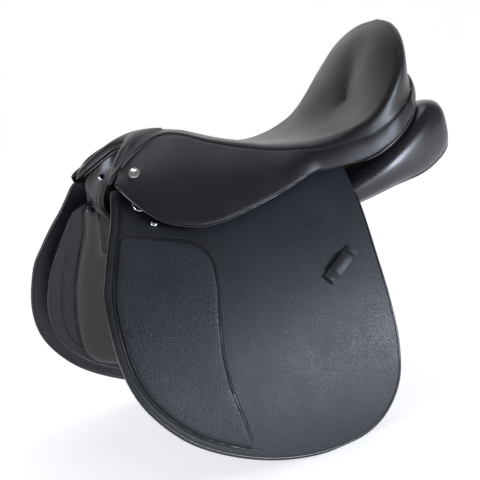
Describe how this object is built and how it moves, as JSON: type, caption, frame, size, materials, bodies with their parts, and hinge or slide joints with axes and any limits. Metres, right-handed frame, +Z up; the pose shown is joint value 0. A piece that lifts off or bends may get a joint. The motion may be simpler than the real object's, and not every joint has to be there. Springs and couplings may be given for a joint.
{
  "type": "english saddle",
  "caption": "English jumping saddle with a deep seat, lifting flaps and skirts, padded panels, girth straps and stirrup bars.",
  "frame": {"origin": "on the centre plane, in the channel between the panels at the level where they bear on the horse's back, under the seat's lowest point", "axes": "+Z up, -Y towards the front arch, +X towards the near (left) side"},
  "size_m": [0.474, 0.5663, 0.4731],
  "materials": {
    "leather": "black smooth leather, satin",
    "grain_leather": "black pebble-grained grip leather, matte",
    "binding": "black piping leather",
    "steel": "polished stainless steel",
    "tree_wood": "laminated beech, varnished",
    "foam": "open-cell seat foam",
    "webbing": "woven web, natural"
  },
  "bodies": {
    "saddle": {"arch_face": "leather", "arch_rivet_near": "steel", "arch_rivet_off": "steel", "cantle_band": "leather", "cantle_welt": "binding", "flap_head_near": "leather", "flap_head_off": "leather", "flap_stud_near": "steel", "flap_stud_off": "steel", "gullet_plate": "steel", "gullet_screw_inner_near": "steel", "gullet_screw_inner_off": "steel", "gullet_screw_outer_near": "steel", "gullet_screw_outer_off": "steel", "knee_block_near": "leather", "knee_block_off": "leather", "panel_near": "leather", "panel_off": "leather", "ring_tab_near": "leather", "ring_tab_off": "leather", "seat_cover": "leather", "seat_foam": "foam", "seat_webbing_near": "webbing", "seat_webbing_off": "webbing", "skirt_badge_near": "steel", "skirt_badge_off": "steel", "skirt_top_near": "leather", "skirt_top_off": "leather", "stirrup_bar_near": "steel", "stirrup_bar_off": "steel", "sweat_flap_near": "leather", "sweat_flap_off": "leather", "sweat_pad_near": "leather", "sweat_pad_off": "leather", "thigh_block_near": "leather", "thigh_block_off": "leather", "tree": "tree_wood"},
    "flap_near": {"flap_near": "leather", "knee_pad_near": "grain_leather", "keeper_near": "leather"},
    "skirt_near": {"skirt_near": "leather"},
    "ring_near": {"ring_near": "steel"},
    "catch_near": {"bar_catch_near": "steel"},
    "strap_front_near": {"girth_strap_front_near": "leather"},
    "strap_middle_near": {"girth_strap_middle_near": "leather"},
    "strap_rear_near": {"girth_strap_rear_near": "leather"},
    "flap_off": {"flap_off": "leather", "knee_pad_off": "grain_leather", "keeper_off": "leather"},
    "skirt_off": {"skirt_off": "leather"},
    "ring_off": {"ring_off": "steel"},
    "catch_off": {"bar_catch_off": "steel"},
    "strap_front_off": {"girth_strap_front_off": "leather"},
    "strap_middle_off": {"girth_strap_middle_off": "leather"},
    "strap_rear_off": {"girth_strap_rear_off": "leather"}
  },
  "joints": [
    {"name": "flap_lift_near", "type": "hinge", "parent": "saddle", "child": "flap_near", "pos_m": [0.13831, -0.15, 0.006], "axis": [0.0758, -0.9971, 0], "range_deg": [0, 95]},
    {"name": "flap_lift_off", "type": "hinge", "parent": "saddle", "child": "flap_off", "pos_m": [-0.13831, -0.15, 0.006], "axis": [0.0758, 0.9971, 0], "range_deg": [0, 95]},
    {"name": "skirt_lift_near", "type": "hinge", "parent": "saddle", "child": "skirt_near", "pos_m": [0.10965, -0.26085, 0.08979], "axis": [-0.0528, -0.9944, 0.0914], "range_deg": [0, 60]},
    {"name": "skirt_lift_off", "type": "hinge", "parent": "saddle", "child": "skirt_off", "pos_m": [-0.10965, -0.26085, 0.08979], "axis": [-0.0528, 0.9944, -0.0914], "range_deg": [0, 60]},
    {"name": "ring_swing_near", "type": "hinge", "parent": "saddle", "child": "ring_near", "pos_m": [0.10342, -0.24525, 0.07161], "axis": [-0.2958, -0.8411, 0.4529], "range_deg": [0, 7]},
    {"name": "ring_swing_off", "type": "hinge", "parent": "saddle", "child": "ring_off", "pos_m": [-0.10342, -0.24525, 0.07161], "axis": [-0.2958, 0.8411, -0.4529], "range_deg": [0, 7]},
    {"name": "catch_flip_near", "type": "hinge", "parent": "saddle", "child": "catch_near", "pos_m": [0.09297, -0.11142, 0.05374], "axis": [0.6066, 0.0461, -0.7937], "range_deg": [0, 75]},
    {"name": "catch_flip_off", "type": "hinge", "parent": "saddle", "child": "catch_off", "pos_m": [-0.09297, -0.11142, 0.05374], "axis": [0.6066, -0.0461, 0.7937], "range_deg": [0, 75]},
    {"name": "strap_front_swing_near", "type": "hinge", "parent": "saddle", "child": "strap_front_near", "pos_m": [0.10014, -0.15336, 0.0232], "axis": [0.9255, 0.0703, 0.3722], "range_deg": [-5, 0]},
    {"name": "strap_front_swing_off", "type": "hinge", "parent": "saddle", "child": "strap_front_off", "pos_m": [-0.10014, -0.15336, 0.0232], "axis": [0.9255, -0.0703, -0.3722], "range_deg": [-5, 0]},
    {"name": "strap_middle_swing_near", "type": "hinge", "parent": "saddle", "child": "strap_middle_near", "pos_m": [0.09732, -0.11636, 0.0232], "axis": [0.9255, 0.0703, 0.3722], "range_deg": [-2, 2]},
    {"name": "strap_middle_swing_off", "type": "hinge", "parent": "saddle", "child": "strap_middle_off", "pos_m": [-0.09732, -0.11636, 0.0232], "axis": [0.9255, -0.0703, -0.3722], "range_deg": [-2, 2]},
    {"name": "strap_rear_swing_near", "type": "hinge", "parent": "saddle", "child": "strap_rear_near", "pos_m": [0.09451, -0.07936, 0.0232], "axis": [0.9255, 0.0703, 0.3722], "range_deg": [-2, 2]},
    {"name": "strap_rear_swing_off", "type": "hinge", "parent": "saddle", "child": "strap_rear_off", "pos_m": [-0.09451, -0.07936, 0.0232], "axis": [0.9255, -0.0703, -0.3722], "range_deg": [-2, 2]}
  ]
}
